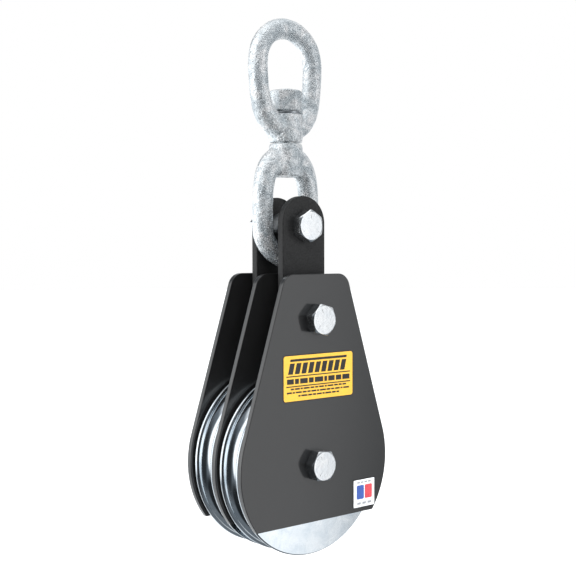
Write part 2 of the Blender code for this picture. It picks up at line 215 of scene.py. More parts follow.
def hex_body(name, af, h0, h1, ch0, ch1, bore, turn, place, mat, steps=120, ticks=False):
    """Hexagon with its corners turned off at 30 degrees. h runs along the
    local axis; place maps (x, y, h) in mm to the world."""
    bm = bmesh.new()
    rf = af / 2 * 0.955
    tan30 = math.tan(math.radians(27))

    def rhex(a):
        u = (a - turn + math.pi / 6) % (math.pi / 3) - math.pi / 6
        # corner at u = +-30 degrees, a little rounded
        r = af / 2 / math.cos(u)
        rc = af / 2 / math.cos(math.pi / 6) - 0.35
        return min(r, rc + 0.12 * (r - rc)) if r > rc else r

    rows = []
    angs = [2 * math.pi * i / steps + turn for i in range(steps)]

    def row(fn):
        rows.append([bm.verts.new(place(*fn(a))) for a in angs])

    def at(r, h, a):
        return (r * math.cos(a), r * math.sin(a), h)

    def cone(a, top):
        r = rhex(a)
        d = max(0.0, (r - rf) * tan30)
        return r, (h1 - d) if top else (h0 + d)

    e = 0.22
    if bore:
        row(lambda a: at(bore, h0 + 0.5, a))
        row(lambda a: at(bore + 0.6, h0, a))
    if ch0:
        row(lambda a: at(rf - e, h0, a))
        row(lambda a: at(rf + e, h0 + 0.04, a))
        row(lambda a: at(cone(a, False)[0] - e, cone(a, False)[1] - e * tan30 * 0.6, a))
        row(lambda a: at(cone(a, False)[0], cone(a, False)[1] + e, a))
    else:
        row(lambda a: at(rhex(a) - e, h0, a))
        row(lambda a: at(rhex(a), h0 + e, a))
    if ch1:
        row(lambda a: at(cone(a, True)[0], cone(a, True)[1] - e, a))
        row(lambda a: at(cone(a, True)[0] - e, cone(a, True)[1] + e * tan30 * 0.6, a))
        row(lambda a: at(rf + e, h1 - 0.04, a))
        row(lambda a: at(rf - e, h1, a))
    if bore:
        row(lambda a: at(bore + 0.6, h1, a))
        row(lambda a: at(bore, h1 - 0.5, a))
    n = steps
    for ra, rb in zip(rows, rows[1:]):
        for k in range(n):
            bm.faces.new((ra[k], ra[(k + 1) % n], rb[(k + 1) % n], rb[k]))
    if bore:
        ra, rb = rows[-1], rows[0]
        for k in range(n):
            bm.faces.new((ra[k], ra[(k + 1) % n], rb[(k + 1) % n], rb[k]))
    else:
        for ring in (rows[0], rows[-1]):
            bm.faces.new(ring)
    if ticks:
        # plain radial strength marks, three bars
        for k in range(3):
            a = turn + math.pi / 2 + k * 2 * math.pi / 3
            u = Vector((math.cos(a), math.sin(a)))
            v = Vector((-u.y, u.x))
            base = []
            for s, t in ((6.2, -0.42), (9.6, -0.42), (9.6, 0.42), (6.2, 0.42)):
                base.append(u * s + v * t)
            lo = [bm.verts.new(place(p.x, p.y, h1 - 0.4)) for p in base]
            hi = [bm.verts.new(place(*(p + (u * 7.9 - p) * 0.12), h1 + 0.22)) for p in base]
            bm.faces.new(lo)
            bm.faces.new(hi)
            for i in range(4):
                bm.faces.new((lo[i], lo[(i + 1) % 4], hi[(i + 1) % 4], hi[i]))
    return finish_mesh(name, bm, mat, 24)


def along_y(y0, z0, sign=-1):
    """Local axis pointing to -Y (sign -1) or +Y (sign 1) from y0."""
    def f(x, y, h):
        return Vector((x, 0, y)) * MM + Vector((0, (y0 + sign * h) * MM, zf(z0) * MM))
    return f


def threaded(name, r, length, pitch, place, mat, thread_from, steps=64, tip=1.2, depth=1.0):
    """Shank from h=0 to h=length, a real helical thread from thread_from on."""
    bm = bmesh.new()
    hs = [0.0, thread_from - 0.01]
    n = int((length - thread_from) / pitch * 8)
    hs += [thread_from + (length - thread_from) * i / n for i in range(n + 1)]
    rows = []
    for h in hs:
        row = []
        for i in range(steps):
            a = 2 * math.pi * i / steps
            rr = r
            if h >= thread_from:
                ph = (h / pitch - i / steps) % 1.0
                tri = abs(2 * ph - 1)
                fade = min(1.0, (h - thread_from) / pitch)
                rr = r - depth * fade * min(1.0, max(0.0, 1.25 * tri - 0.12))
            if h > length - tip:
                rr = min(rr, r - (h - (length - tip)) * 0.9)
            row.append(bm.verts.new(place(rr * math.cos(a), rr * math.sin(a), h)))
        rows.append(row)
    for ra, rb in zip(rows, rows[1:]):
        for k in range(steps):
            bm.faces.new((ra[k], ra[(k + 1) % steps], rb[(k + 1) % steps], rb[k]))
    bm.faces.new(rows[0])
    bm.faces.new(rows[-1])
    return finish_mesh(name, bm, mat, 50)


def ride(ob, body, slot, *nodes):
    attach(ob, body)
    if nodes:
        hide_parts(*nodes)
    return ob


# --------------------------------------------------------------- materials
class Mat:
    """Small helper for node materials."""

    def __init__(self, name):
        self.m = bpy.data.materials.new(name)
        self.m.use_nodes = True
        self.nt = self.m.node_tree
        self.b = self.nt.nodes["Principled BSDF"]
        self.co = self.nt.nodes.new("ShaderNodeTexCoord")

    def set(self, **kw):
        names = {"metal": "Metallic", "rough": "Roughness", "coat": "Coat Weight",
                 "coat_rough": "Coat Roughness", "ior": "IOR", "spec": "Specular IOR Level",
                 "aniso": "Anisotropic"}
        for k, v in kw.items():
            self.b.inputs[names[k]].default_value = v
        return self

    def noise(self, scale, detail=4.0, rough=0.55, dist=0.0, vec=None):
        n = self.nt.nodes.new("ShaderNodeTexNoise")
        n.inputs["Scale"].default_value = scale
        n.inputs["Detail"].default_value = detail
        n.inputs["Roughness"].default_value = rough
        n.inputs["Distortion"].default_value = dist
        self.nt.links.new(vec or self.co.outputs["Object"], n.inputs["Vector"])
        return n.outputs["Fac"]

    def voronoi(self, scale, feature="F1", out="Distance"):
        n = self.nt.nodes.new("ShaderNodeTexVoronoi")
        n.feature = feature
        n.inputs["Scale"].default_value = scale
        self.nt.links.new(self.co.outputs["Object"], n.inputs["Vector"])
        return n.outputs[out]

    def ramp(self, fac, *stops):
        n = self.nt.nodes.new("ShaderNodeValToRGB")
        r = n.color_ramp
        while len(r.elements) < len(stops):
            r.elements.new(0.5)
        for e, (p, c) in zip(r.elements, stops):
            e.position = p
            e.color = (*c, 1.0) if len(c) == 3 else c
        self.nt.links.new(fac, n.inputs["Fac"])
        return n.outputs["Color"]

    def span(self, fac, a, b, lo=0.3, hi=0.7):
        n = self.nt.nodes.new("ShaderNodeMapRange")
        n.inputs["From Min"].default_value = lo
        n.inputs["From Max"].default_value = hi
        n.inputs["To Min"].default_value = a
        n.inputs["To Max"].default_value = b
        self.nt.links.new(fac, n.inputs["Value"])
        return n.outputs["Result"]

    def math(self, op, a, b):
        n = self.nt.nodes.new("ShaderNodeMath")
        n.operation = op
        for i, v in enumerate((a, b)):
            if isinstance(v, (int, float)):
                n.inputs[i].default_value = v
            elif v is not None:
                self.nt.links.new(v, n.inputs[i])
        return n.outputs[0]

    def mix(self, fac, a, b, mode="MIX"):
        n = self.nt.nodes.new("ShaderNodeMix")
        n.data_type = "RGBA"
        n.blend_type = mode
        if isinstance(fac, (int, float)):
            n.inputs[0].default_value = fac
        else:
            self.nt.links.new(fac, n.inputs[0])
        for i, v in ((6, a), (7, b)):
            if isinstance(v, tuple):
                n.inputs[i].default_value = (*v, 1.0)
            else:
                self.nt.links.new(v, n.inputs[i])
        return n.outputs[2]

    def colour(self, out):
        self.nt.links.new(out, self.b.inputs["Base Color"])
        return self

    def roughness(self, out):
        self.nt.links.new(out, self.b.inputs["Roughness"])
        return self

    def bump(self, *layers):
        """layers of (height output, strength, distance in metres)"""
        last = None
        for h, s, d in layers:
            n = self.nt.nodes.new("ShaderNodeBump")
            n.inputs["Strength"].default_value = s
            n.inputs["Distance"].default_value = d
            self.nt.links.new(h, n.inputs["Height"])
            if last is not None:
                self.nt.links.new(last, n.inputs["Normal"])
            last = n.outputs["Normal"]
        self.nt.links.new(last, self.b.inputs["Normal"])
        return self


def paint_material():
    """Semi-gloss black paint on rolled plate."""
    m = Mat("black_semi_gloss_paint").set(metal=0.0, spec=0.45, coat=0.75, coat_rough=0.09)
    broad = m.noise(14, 3, 0.5)
    fine = m.noise(420, 3, 0.6)
    col = m.ramp(broad, (0.3, (0.0095, 0.0095, 0.0098)), (0.7, (0.0125, 0.0125, 0.0128)))
    m.colour(col)
    m.roughness(m.span(m.math("ADD", m.math("MULTIPLY", broad, 0.6), m.math("MULTIPLY", fine, 0.4)), 0.28, 0.40))
    m.bump((m.noise(160, 3, 0.5), 0.05, 0.0003), (fine, 0.03, 0.0001))
    return m.m


def strap_material():
    """Black textured paint, a fine leathery skin."""
    m = Mat("black_textured_paint").set(metal=0.0, spec=0.30)
    peel = m.noise(900, 5, 0.65)
    cells = m.voronoi(1150, "SMOOTH_F1")
    col = m.ramp(peel, (0.35, (0.006, 0.006, 0.006)), (0.72, (0.024, 0.024, 0.0245)))
    m.colour(col)
    m.roughness(m.span(peel, 0.34, 0.6))
    m.bump((cells, 0.35, 0.0003), (peel, 0.40, 0.0003))
    return m.m


def zinc_material(name="bright_zinc", base=(0.96, 0.97, 0.98), dark=(0.78, 0.81, 0.84), r0=0.16, r1=0.30):
    """Bright zinc plate on forged hexagons, faintly blue."""
    m = Mat(name).set(metal=1.0)
    cloud = m.noise(95, 4, 0.6, 0.4)
    grain = m.noise(1500, 3, 0.6)
    col = m.mix(m.span(cloud, 0, 1, 0.35, 0.65), dark, base)
    warm = m.span(m.noise(38, 2, 0.5), 0.0, 0.16)
    col = m.mix(warm, col, (0.86, 0.84, 0.76))
    m.colour(col)
    m.roughness(m.span(m.math("ADD", m.math("MULTIPLY", cloud, 0.5), m.math("MULTIPLY", grain, 0.5)), r0, r1))
    m.bump((m.noise(260, 4, 0.6), 0.16, 0.0004), (grain, 0.14, 0.0001))
    return m.m


def sheave_material():
    """Turned and zinc plated steel: rings of tool marks, soft blue cloud."""
    m = Mat("turned_zinc").set(metal=1.0)
    nt = m.nt
    sep = nt.nodes.new("ShaderNodeSeparateXYZ")
    nt.links.new(m.co.outputs["Object"], sep.inputs[0])
    dz = m.math("SUBTRACT", sep.outputs["Z"], AXLE_Z * MM)
    rr = m.math("SQRT", m.math("ADD", m.math("MULTIPLY", sep.outputs["X"], sep.outputs["X"]),
                               m.math("MULTIPLY", dz, dz)), 0.0)
    comb = nt.nodes.new("ShaderNodeCombineXYZ")
    nt.links.new(rr, comb.inputs[0])
    nt.links.new(sep.outputs["Y"], comb.inputs[1])
    rings = m.noise(3200, 2, 0.7, 0.0, comb.outputs[0])
    cloud = m.noise(60, 5, 0.6, 0.5)
    col = m.mix(m.span(cloud, 0, 1, 0.36, 0.64), (0.60, 0.66, 0.71), (0.78, 0.82, 0.85))
    m.colour(col)
    m.roughness(m.span(m.math("ADD", m.math("MULTIPLY", cloud, 0.6), m.math("MULTIPLY", rings, 0.4)), 0.07, 0.17))
    m.bump((rings, 0.10, 0.00006), (m.noise(140, 3, 0.5), 0.05, 0.0003))
    return m.m


def galv_material(name="galvanised_forging"):
    """Hot dip galvanised forging: mottled, speckled, softly rough."""
    m = Mat(name).set(metal=0.87, spec=0.6)
    cloud = m.noise(70, 5, 0.62, 0.8)
    mid = m.noise(300, 5, 0.70, 0.5)
    fine = m.noise(1300, 4, 0.72)
    pits = m.voronoi(560, "F1")
    col = m.ramp(cloud, (0.36, (0.56, 0.61, 0.64)), (0.49, (0.82, 0.86, 0.88)), (0.60, (0.99, 0.99, 0.99)))
    col = m.mix(m.span(mid, 0.0, 0.60, 0.52, 0.64), col, (0.42, 0.47, 0.50))
    speck = m.ramp(fine, (0.56, (0, 0, 0)), (0.66, (1, 1, 1)))
    col = m.mix(m.math("MULTIPLY", speck, 0.65), col, (0.96, 0.97, 0.98))
    dot = m.ramp(pits, (0.12, (1, 1, 1)), (0.24, (0, 0, 0)))
    dot = m.math("MULTIPLY", dot, m.span(m.noise(90, 2, 0.5), 0, 1, 0.5, 0.60))
    col = m.mix(m.math("MULTIPLY", dot, 0.75), col, (0.16, 0.19, 0.22))
    m.colour(col)
    m.roughness(m.span(m.math("ADD", m.math("MULTIPLY", mid, 0.5), m.math("MULTIPLY", fine, 0.5)), 0.15, 0.36))
    m.bump((cloud, 0.6, 0.0014), (mid, 0.9, 0.0010), (fine, 0.6, 0.0004), (pits, 0.25, 0.0003))
    return m.m


def bronze_material():
    m = Mat("bearing_bronze").set(metal=1.0)
    cloud = m.noise(120, 4, 0.6)
    m.colour(m.ramp(cloud, (0.3, (0.42, 0.25, 0.10)), (0.7, (0.68, 0.45, 0.20))))
    m.roughness(m.span(m.noise(900, 3, 0.6), 0.25, 0.45))
    m.bump((m.noise(1400, 2, 0.6), 0.15, 0.0001))
    return m.m


def print_material(name, colour, var=0.10, rough=0.32):
    """Ink on film with a faint unevenness."""
    m = Mat(name).set(metal=0.0, coat=0.3, coat_rough=0.2)
    n = m.noise(180, 4, 0.6)
    lo = tuple(c * (1 - var) for c in colour)
    m.colour(m.ramp(n, (0.3, lo), (0.7, colour)))
    m.roughness(m.span(m.noise(700, 3, 0.5), rough - 0.06, rough + 0.08))
    m.bump((m.noise(500, 3, 0.5), 0.08, 0.0002))
    return m.m


PAINT = paint_material()
TEXTURE = strap_material()
ZINC = zinc_material()
# second zinc: the rougher finish is real, and the darker colour is painted shade for parts that sit in shade (spacers,
# top bolt sleeve, swivel washer)
SHADED_DULL_ZINC = zinc_material("dull_zinc_painted_shade", (0.62, 0.64, 0.66), (0.42, 0.45, 0.48), 0.30, 0.48)
SHEAVE = sheave_material()
GALV = galv_material()
BRONZE = bronze_material()
YELLOW = print_material("label_yellow", (0.80, 0.45, 0.03), 0.08)
INK = print_material("label_ink", (0.012, 0.011, 0.010), 0.2, 0.4)
WHITE = print_material("label_white", (0.80, 0.82, 0.84), 0.04)
BLUE = print_material("label_blue", (0.03, 0.085, 0.36), 0.15)
RED = print_material("label_red", (0.62, 0.05, 0.07), 0.15)
GREY = print_material("label_grey", (0.30, 0.31, 0.33), 0.15)

# ------------------------------------------------------------ cheek plates


def cheek_outline():
    d = math.hypot(CHEEK_TOP_HALF, CHEEK_TOP)
    a = math.atan2(CHEEK_TOP, CHEEK_TOP_HALF) - math.acos(CHEEK_R / d)
    touch = math.degrees(a)
    low = math.degrees(math.asin(CHEEK_BOTTOM / CHEEK_R))
    pts = arc(0, 0, CHEEK_R, low, touch, 56)
    r = CHEEK_CORNER_R
    cz = CHEEK_TOP - r
    cx = (CHEEK_R - r - math.sin(a) * cz) / math.cos(a)
    pts += arc(cx, cz, r, touch, 90, 16)
    return pts + [(-x, z) for x, z in reversed(pts)]


for node, lo, hi in (("front_cheek_plate", front_lo, front_hi),
                     ("middle_cheek_plate", mid_lo, mid_hi),
                     ("rear_cheek_plate", rear_lo, rear_hi)):
    ob = plate(node + "_painted", [cheek_outline(), circle(0), circle(MID_BOLT)],
               (lo.y + hi.y) / 2 / MM, PLATE_T, PAINT, edge=0.45)
    ride(ob, "block_frame", "black_paint", node)

# ------------------------------------------------------------------ straps
r = STRAP_W / 2
strap_loops = [arc(0, STRAP_TOP - r, r, 0, 180, 48) + arc(0, MID_BOLT, r, 180, 360, 48),
               circle(MID_BOLT), circle(TOP_BOLT)]
for node, (lo, hi) in (("front_strap", strap_f), ("rear_strap", strap_r)):
    ob = plate(node + "_painted", strap_loops, (lo.y + hi.y) / 2 / MM, STRAP_T, TEXTURE, edge=0.8)
    ride(ob, "block_frame", "black_texture", node)

# ----------------------------------------------------------------- sheaves
HUB_W, RIM_W, SHEAVE_R = 26.1, 25.4, 76.2
GROOVE_R, GROOVE_BOTTOM_R, LIP_W = 8.8, 66.8, 3.5
HUB_R, BUSH_R, BUSH_BORE_R = 21.5, 12.4, 8.24


def sheave_profile():
    h, w = HUB_W / 2, RIM_W / 2
    mouth = w - LIP_W
    gc = GROOVE_BOTTOM_R + GROOVE_R
    floor = []
    for i in range(33):
        a = math.radians(82 - 164 * i / 32)
        floor.append((gc - GROOVE_R * math.cos(a), GROOVE_R * math.sin(a)))
    left = [(BUSH_R + 0.3, h), (HUB_R, h), (HUB_R + 1.5, w - 2.6), (42.0, w - 2.6),
            (45.0, w)]
    lip = [(SHEAVE_R - 1.1, w), (SHEAVE_R - 0.2, w - 0.8), (SHEAVE_R, w - 1.8), (SHEAVE_R - 0.5, mouth + 0.5)]
    right = [(p, -q) for p, q in reversed(left)]
    prof = soften_open(left, 0.7) + soften_open(lip, 0.6) + floor
    prof += [(p, -q) for p, q in reversed(soften_open(lip, 0.6))]
    prof += soften_open(right, 0.7)
    return prof


def soften_open(pts, r):
    out = [pts[0]]
    for a, c, b in zip(pts, pts[1:], pts[2:]):
        a, c, b = Vector(a), Vector(c), Vector(b)
        da, db = a - c, b - c
        d = min(r, da.length * 0.45, db.length * 0.45)
        p, q = c + da.normalized() * d, c + db.normalized() * d
        for k in range(5):
            t = k / 4
            out.append(tuple((1 - t) ** 2 * p + 2 * t * (1 - t) * c + t * t * q))
    out.append(pts[-1])
    return out


for side, (lo, hi) in (("front", wheel_f), ("rear", wheel_r)):
    yc = (lo.y + hi.y) / 2 / MM
    ob = lathe(side + "_sheave_turned", sheave_profile(), 200, (0, yc, AXLE_Z), "Y", SHEAVE, 28)
    ride(ob, side + "_wheel", "polished_zinc", side + "_sheave")
    h = HUB_W / 2
    ob = lathe(side + "_bushing_turned", soften([(BUSH_BORE_R, h), (BUSH_R, h), (BUSH_R, -h), (BUSH_BORE_R, -h)], 0.4),
               96, (0, yc, AXLE_Z), "Y", BRONZE)
    ride(ob, side + "_wheel", "bronze", side + "_sheave_bushing")
    for s in ("front", "rear"):
        node = "%s_bay_%s_thrust_washer" % (side, s)
        a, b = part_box(node)
        rr = (b.x - a.x) / 2 / MM
        t = (b.y - a.y) / 2 / MM
        ob = lathe(node + "_turned", soften([(HOLE_R, t), (rr, t), (rr, -t), (HOLE_R, -t)], 0.35), 96,
                   (0, (a.y + b.y) / 2 / MM, AXLE_Z), "Y", BRONZE)
        ride(ob, "block_frame", "bronze", node)
        node = "%s_bay_%s_spacer" % (side, s)
        a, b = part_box(node)
        rr = (b.x - a.x) / 2 / MM
        t = (b.y - a.y) / 2 / MM
        ob = lathe(node + "_turned", soften([(HOLE_R, t), (rr, t), (rr, -t), (HOLE_R, -t)], 0.5), 96,
                   (0, (a.y + b.y) / 2 / MM, zf(MID_BOLT)), "Y", SHADED_DULL_ZINC)
        ride(ob, "block_frame", "zinc", node)

a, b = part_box("top_bolt_sleeve")
rr, t = (b.x - a.x) / 2 / MM, (b.y - a.y) / 2 / MM
ob = lathe("top_bolt_sleeve_turned", soften([(HOLE_R, t), (rr, t), (rr, -t), (HOLE_R, -t)], 0.6), 96,
           (0, (a.y + b.y) / 2 / MM, zf(TOP_BOLT)), "Y", SHADED_DULL_ZINC)
ride(ob, "block_frame", "zinc", "top_bolt_sleeve")

# ------------------------------------------------------- bolts and nuts
for key, z, turn, nut_turn in (("axle", 0.0, 25, 8), ("middle", MID_BOLT, 15, 21), ("top", TOP_BOLT, 0, 13)):
    lo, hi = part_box(key + "_bolt")
    bearing = lo.y / MM + HEAD_H
    end = hi.y / MM
    head = hex_body(key + "_bolt_head", HEX_AF, 0.0, HEAD_H - 0.25, False, True, None,
                    math.radians(turn), along_y(bearing, z, -1), ZINC, ticks=True)
    ride(head, "block_frame", "zinc", key + "_bolt")
    shank = threaded(key + "_bolt_shank", BOLT_R, end - bearing - 0.02, 2.31, along_y(bearing, z, 1), ZINC,
                     end - bearing - 26.0)
    ride(shank, "block_frame", "zinc", key + "_bolt")
    lo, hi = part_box(key + "_washer")
    rr, t = (hi.x - lo.x) / 2 / MM, (hi.y - lo.y) / 2 / MM
    ob = lathe(key + "_washer_turned", soften([(HOLE_R, t), (rr, t), (rr, -t), (HOLE_R, -t)], 0.5), 96,
               (0, (lo.y + hi.y) / 2 / MM, zf(z)), "Y", ZINC)
    ride(ob, "block_frame", "zinc", key + "_washer")
    lo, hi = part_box(key + "_nut")
    ob = hex_body(key + "_nut_chamfered", HEX_AF, 0.0, (hi.y - lo.y) / MM, True, True, HOLE_R,
                  math.radians(nut_turn), along_y(lo.y / MM, z, 1), ZINC)
    ride(ob, "block_frame", "zinc", key + "_nut")

# ------------------------------------------------------------------ swivel
EYE_BOTTOM, EYE_SEAT = 267.3, 290.4
LINK_TOP, LINK_UNDER = 265.6, 238.6
PIN_R, PIN_HOLE_R = 7.94, 8.3
crown_z, crown_r = 333.2, 29.25
EYE = [(crown_r * math.sin(math.radians(a)), crown_z + crown_r * math.cos(math.radians(a)),
        8.5 - 0.4 * a / 90, 8.6 - 0.2 * a / 90) for a in (0, 22.5, 45, 67.5, 90)]
EYE += [(28.7, 318.0, 8.1, 8.4), (26.7, 303.5, 8.4, 8.7), (22.4, 291.5, 9.2, 9.6),
        (13.5, 282.6, 10.6, 11.6), (0.0, 278.85, 11.5, 12.4)]
LINK_HALF = 24.85
LINK = [(LINK_HALF * math.sin(math.radians(a)), TOP_BOLT - 0.3 - LINK_HALF * math.cos(math.radians(a)),
         9.6 - 0.94 * min(a, 45) / 45, 8.8) for a in (0, 22.5, 45, 67.5, 90)]
LINK += [(24.7, 214.0, 8.66, 8.8), (23.9, 229.0, 8.7, 8.9), (20.4, 241.6, 9.4, 9.6),
         (12.0, 249.6, 11.8, 11.6), (0.0, 252.1, 13.5, 12.4)]


def smooth_path(ctrl, per):
    def mirror(q):
        return (-q[0],) + tuple(q[1:])
    rows = [mirror(ctrl[1])] + list(ctrl) + [mirror(ctrl[-2])]
    out = []
    for i in range(1, len(rows) - 2):
        p0, p1, p2, p3 = rows[i - 1:i + 3]
        for k in range(per):
            t = k / per
            out.append(tuple(
                0.5 * (2 * b_ + (c_ - a_) * t + (2 * a_ - 5 * b_ + 4 * c_ - d_) * t * t
                       + (3 * b_ - a_ - 3 * c_ + d_) * t ** 3)
                for a_, b_, c_, d_ in zip(p0, p1, p2, p3)))
    out.append(tuple(ctrl[-1]))
    return out


def add_loft(bm, half, sides=40, seam=0.28):
    """Forged ring as a loft, with a faint parting line in the middle plane."""
    left = [(-q[0],) + tuple(q[1:]) for q in reversed(half[1:-1])]
    rows = list(half) + left
    n = len(rows)
    loops = []
    for i, (x, z, a_, b_) in enumerate(rows):
        nx, nz = rows[(i + 1) % n][:2]
        px, pz = rows[i - 1][:2]
        tdir = Vector((nx - px, 0, nz - pz)).normalized()
        out = Vector((tdir.z, 0, -tdir.x))
        loop = []
        for k in range(sides):
            ang = 2 * math.pi * k / sides
            c, s = math.cos(ang), math.sin(ang)
            extra = seam * math.exp(-(b_ * s / 1.1) ** 2) * (1 if c > 0 else 1)
            p = Vector((x, 0, zf(z))) + out * ((a_ + extra) * c) + Vector((0, 1, 0)) * (b_ * s)
            loop.append(bm.verts.new(p * MM))
        loops.append(loop)
    for i in range(n):
        la, lb = loops[i], loops[(i + 1) % n]
        for k in range(sides):
            k2 = (k + 1) % sides
            bm.faces.new((la[k], la[k2], lb[k2], lb[k]))


def add_turned(bm, profile, steps=96):
    """Open profile of (radius, height), both ends on the axis."""
    rows = []
    for rad, h in profile:
        if rad < 1e-6:
            rows.append([bm.verts.new(Vector((0, 0, zf(h))) * MM)])
        else:
            rows.append([bm.verts.new(Vector((rad * math.cos(2 * math.pi * i / steps),
                                              rad * math.sin(2 * math.pi * i / steps), zf(h))) * MM)
                         for i in range(steps)])
    for ra, rb in zip(rows, rows[1:]):
        for k in range(steps):
            k2 = (k + 1) % steps
            if len(ra) == 1:
                bm.faces.new((ra[0], rb[k2], rb[k]))
            elif len(rb) == 1:
                bm.faces.new((ra[k], ra[k2], rb[0]))
            else:
                bm.faces.new((ra[k], ra[k2], rb[k2], rb[k]))


def tool(name, profile):
    bm = bmesh.new()
    add_turned(bm, profile, 128)
    bmesh.ops.recalc_face_normals(bm, faces=bm.faces)
    me = bpy.data.meshes.new(name)
    bm.to_mesh(me)
    bm.free()
    return link_object(name, me)


def forging(name, half, boss, cuts, voxel, relax, seed):
    """Loft and boss melted into one skin, relaxed, roughened, then faced."""
    bm = bmesh.new()
    add_loft(bm, smooth_path(half, 10))
    bmesh.ops.recalc_face_normals(bm, faces=bm.faces)
    b2 = bmesh.new()
    add_turned(b2, boss)
    bmesh.ops.recalc_face_normals(b2, faces=b2.faces)
    tmp = bpy.data.meshes.new("boss_tmp")
    b2.to_mesh(tmp)
    b2.free()
    bm.from_mesh(tmp)
    bpy.data.meshes.remove(tmp)
    me = bpy.data.meshes.new(name + "_raw")
    bm.to_mesh(me)
    bm.free()
    raw = link_object(name + "_raw", me)
    rm = raw.modifiers.new("melt", "REMESH")
    rm.mode = "VOXEL"
    rm.voxel_size = voxel * MM
    sm = raw.modifiers.new("relax", "SMOOTH")
    sm.factor = 0.5
    sm.iterations = relax
    skin = evaluated_mesh(raw)
    bpy.data.objects.remove(raw, do_unlink=True)
    # hammered and galvanised surface: shallow waves, in the geometry
    norms = [v.normal.copy() for v in skin.vertices]
    for v, nrm in zip(skin.vertices, norms):
        p = v.co / MM
        d = (0.16 * noise.noise(p * 0.16 + Vector((seed, 0, 0)))
             + 0.10 * noise.noise(p * 0.42 + Vector((0, seed, 0)))
             + 0.05 * noise.noise(p * 1.1 + Vector((0, 0, seed))))
        v.co += nrm * ((d - 0.12) * MM)
    ob = link_object(name, skin)
    for i, prof in enumerate(cuts):
        cutter = tool(name + "_cut%d" % i, prof)
        md = ob.modifiers.new("cut%d" % i, "BOOLEAN")
        md.operation = "DIFFERENCE"
        md.solver = "EXACT"
        md.object = cutter
    final = evaluated_mesh(ob)
    for md in list(ob.modifiers):
        c = md.object
        ob.modifiers.remove(md)
        bpy.data.objects.remove(c, do_unlink=True)
    ob.data = final
    bpy.data.meshes.remove(skin)
    final.materials.clear()
    final.materials.append(GALV)
    final.shade_smooth()
    final.set_sharp_from_angle(angle=math.radians(48))
    return ob


eye = forging(
    "swivel_eye_forged", EYE,
    [(0, EYE_SEAT + 0.3), (14.2, EYE_SEAT + 0.3), (14.7, 286.0), (14.9, 272.0), (13.7, EYE_BOTTOM - 0.2),
     (0, EYE_BOTTOM - 0.2)],
    [[(0, EYE_SEAT + 12), (15.2, EYE_SEAT + 12), (15.2, EYE_SEAT), (0, EYE_SEAT)],
     [(0, EYE_BOTTOM), (30, EYE_BOTTOM), (30, EYE_BOTTOM - 6), (0, EYE_BOTTOM - 6)],
     [(0, EYE_SEAT + 9), (PIN_HOLE_R, EYE_SEAT + 9), (PIN_HOLE_R, EYE_BOTTOM - 8), (0, EYE_BOTTOM - 8)]],
    0.55, 4, 3.7)
ride(eye, "eye", "galvanised", "swivel_eye")

link = forging(
    "swivel_link_forged", LINK,
    [(0, LINK_TOP + 0.2), (13.8, LINK_TOP + 0.2), (14.5, LINK_TOP - 3), (14.4, LINK_UNDER), (0, LINK_UNDER)],
    [[(0, LINK_TOP + 6), (30, LINK_TOP + 6), (30, LINK_TOP), (0, LINK_TOP)],
     [(0, LINK_TOP + 8), (PIN_HOLE_R, LINK_TOP + 8), (PIN_HOLE_R, LINK_UNDER - 6), (0, LINK_UNDER - 6)]],
    0.55, 4, 11.2)
ride(link, "link", "galvanised", "swivel_link")

plo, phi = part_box("swivel_pin")


def along_z(x, y, h):
    return Vector((x, y, h)) * MM + Vector((0, 0, plo.z))


pin = threaded("swivel_pin_threaded", PIN_R, (phi.z - plo.z) / MM - 0.02, 2.31, along_z, GALV,
               (phi.z - plo.z) / MM - 20.0)
ride(pin, "link", "galvanised", "swivel_pin")
lo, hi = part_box("swivel_washer")
rr, t = (hi.x - lo.x) / 2 / MM, (hi.z - lo.z) / 2 / MM
# the swivel washer's darker zinc is painted shade, standing in for the dark shadow line under the nut
ob = lathe("swivel_washer_turned", soften([(PIN_HOLE_R, t), (rr, t), (rr, -t), (PIN_HOLE_R, -t)], 0.5), 96,
           (0, 0, (lo.z + hi.z) / 2 / MM), "Z", SHADED_DULL_ZINC)
ride(ob, "link", "galvanised", "swivel_washer")
nlo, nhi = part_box("swivel_nut")


def nut_place(x, y, h):
    return Vector((x, y, h)) * MM + Vector((0, 0, nlo.z))


ob = hex_body("swivel_nut_chamfered", 25.4, 0.0, (nhi.z - nlo.z) / MM, True, True, PIN_HOLE_R,
              math.radians(90 - 39 + 8.6), nut_place, GALV)
ride(ob, "link", "galvanised", "swivel_nut")

# ------------------------------------------------------------------ labels
ylo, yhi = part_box("plain_yellow_label")
wlo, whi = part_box("plain_white_label")


def rounded(cx, cz, w, h, rad, n=8):
    pts = []
    for sx, sz, a0 in ((1, 1, 0), (-1, 1, 90), (-1, -1, 180), (1, -1, 270)):
        pts += arc(cx + sx * (w / 2 - rad), cz + sz * (h / 2 - rad), rad, a0, a0 + 90, n)
    return pts


def quad(x0, z0, x1, z1, slant=0.0):
    return [(x0, z0), (x1, z0), (x1 + slant, z1), (x0 + slant, z1)]


def label(name, node, lo, hi, base_mat, border, prints):
    """A film on the plate with its print in thin relief layers."""
    cx, cz = (lo.x + hi.x) / 2 / MM, (lo.z + hi.z) / 2 / MM - AXLE_Z
    w, h = (hi.x - lo.x) / MM, (hi.z - lo.z) / MM
    y_back = FRONT - 0.04
    film = plate(name + "_film", [rounded(cx, cz, w, h, border)], y_back - 0.06, 0.12, INK, edge=0.02, segs=1)
    ride(film, "block_frame", base_slot(node), node)
    field = plate(name + "_field", [rounded(cx, cz, w - 1.6, h - 1.6, max(border - 0.8, 0.5))],
                  y_back - 0.15, 0.06, base_mat, edge=0.01, segs=1)
    ride(field, "block_frame", base_slot(node), node)
    for i, (loops, mat) in enumerate(prints):
        ob_ = plate("%s_print%d" % (name, i), loops, y_back - 0.21, 0.05, mat, edge=0.008, segs=1)
        ride(ob_, "block_frame", base_slot(node), node)


def base_slot(node):
    return "yellow_label" if "yellow" in node else "white_label"


